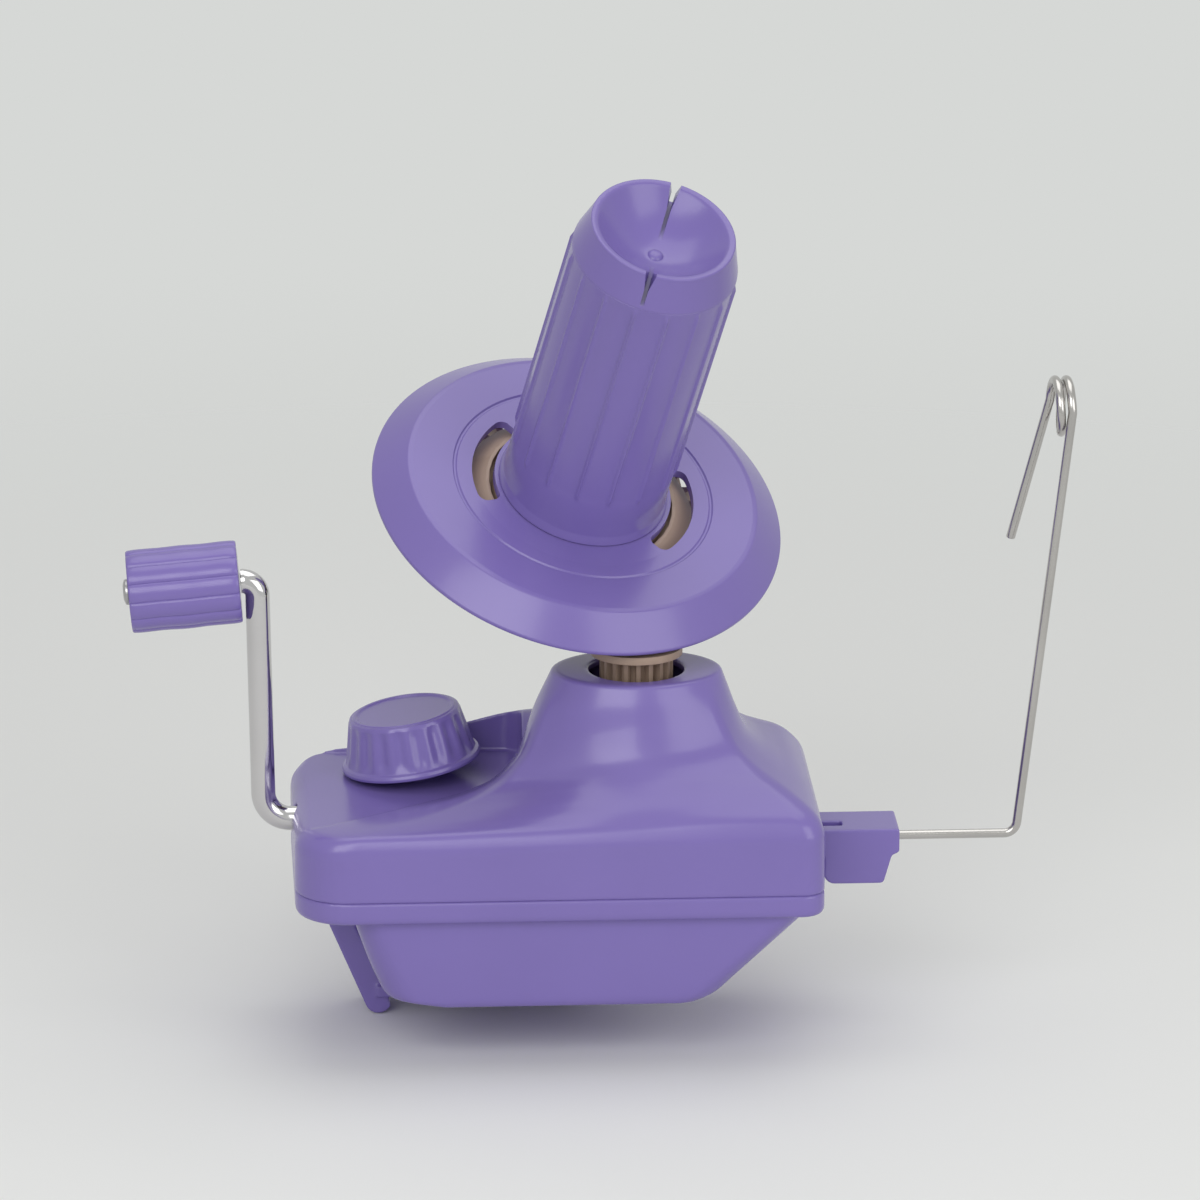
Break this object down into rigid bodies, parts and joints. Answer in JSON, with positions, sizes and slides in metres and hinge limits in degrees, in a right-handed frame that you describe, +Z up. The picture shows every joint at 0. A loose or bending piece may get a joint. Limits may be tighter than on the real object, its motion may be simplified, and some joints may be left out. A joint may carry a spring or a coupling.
{
  "type": "yarn ball winder",
  "caption": "Hand-cranked yarn ball winder with a table clamp: a geared crank turns a tilted mandrel and its flanged disc beside a wire yarn guide.",
  "frame": {"origin": "on the flat underside of the body that rests on the table top, under the middle of the body's length and depth", "axes": "+X towards the yarn guide, -X towards the crank, +Z up, -Y to the side that the mandrel leans to at rest"},
  "size_m": [0.2506, 0.1213, 0.231],
  "materials": {
    "body_plastic": "purple moulded plastic, satin to glossy",
    "gear_plastic": "tan moulded gear plastic",
    "chrome": "bright plated steel",
    "steel": "plain machined steel",
    "arm_metal": "dark coated metal",
    "rubber": "matt black rubber"
  },
  "bodies": {
    "base": {"upper_housing": "body_plastic", "lower_housing": "body_plastic", "housing_screw_1": "steel", "housing_screw_2": "steel", "housing_screw_3": "steel", "housing_screw_4": "steel", "bearing_block_left": "body_plastic", "bearing_block_right": "body_plastic", "centre_post": "steel", "post_washer": "steel", "sun_gear": "gear_plastic", "sun_pin": "steel", "guide_block": "body_plastic"},
    "crank": {"crank_rod": "chrome", "crown_gear": "gear_plastic", "gear_pin": "steel", "grip_pin": "steel"},
    "grip": {"crank_grip": "body_plastic"},
    "spindle": {"drive_pinion": "gear_plastic", "tilt_arm": "arm_metal", "arm_screw_1": "steel", "arm_screw_2": "steel", "tilt_axle": "steel", "axle_thrust_washer": "steel", "axle_washer": "steel", "axle_nut": "steel"},
    "winding_head": {"winding_disc": "body_plastic", "axle_sleeve": "steel", "mandrel": "body_plastic", "mandrel_cap": "body_plastic", "ring_gear": "gear_plastic", "mandrel_screw_1": "steel", "mandrel_screw_2": "steel", "mandrel_screw_3": "steel", "ring_screw_1": "steel", "ring_screw_2": "steel", "ring_screw_3": "steel"},
    "knob": {"clamp_knob": "body_plastic", "clamp_screw": "steel", "screw_clip": "steel"},
    "jaw": {"clamp_jaw": "body_plastic", "clamp_nut": "steel", "jaw_pad": "rubber"},
    "wire": {"guide_wire": "chrome"}
  },
  "joints": [
    {"name": "crank_spin", "type": "hinge", "parent": "base", "child": "crank", "pos_m": [0, 0, 0.0422], "axis": [1, 0, 0], "continuous": true},
    {"name": "grip_spin", "type": "hinge", "parent": "crank", "child": "grip", "pos_m": [-0.07789, 0, 0.10809], "axis": [-0.9965, 0, -0.0837], "continuous": true},
    {"name": "spindle_spin", "type": "hinge", "parent": "base", "child": "spindle", "pos_m": [0.0218, 0, 0.0823], "axis": [0, 0, 1], "continuous": true},
    {"name": "head_spin", "type": "hinge", "parent": "spindle", "child": "winding_head", "pos_m": [0.0218, 0, 0.17825], "axis": [0.2005, -0.461, 0.8645], "continuous": true},
    {"name": "knob_turn", "type": "hinge", "parent": "base", "child": "knob", "pos_m": [-0.037, 0.0194, 0.0515], "axis": [-0.1461, 0, 0.9893], "range_deg": [-876, 2640]},
    {"name": "clamp_slide", "type": "slide", "parent": "base", "child": "jaw", "axis": [-0.1461, 0, 0.9893], "range_m": [-0.022, 0.0073]},
    {"name": "guide_swing", "type": "hinge", "parent": "base", "child": "wire", "pos_m": [0.09, 0, 0.0346], "axis": [1, 0, 0], "range_deg": [-100, 100]}
  ],
  "couplings": [
    {"joint": "spindle_spin", "follows": "crank_spin", "ratio": 2.2222},
    {"joint": "head_spin", "follows": "crank_spin", "ratio": 0.44444},
    {"joint": "clamp_slide", "follows": "knob_turn", "m_per_rad": -0.00047746}
  ]
}
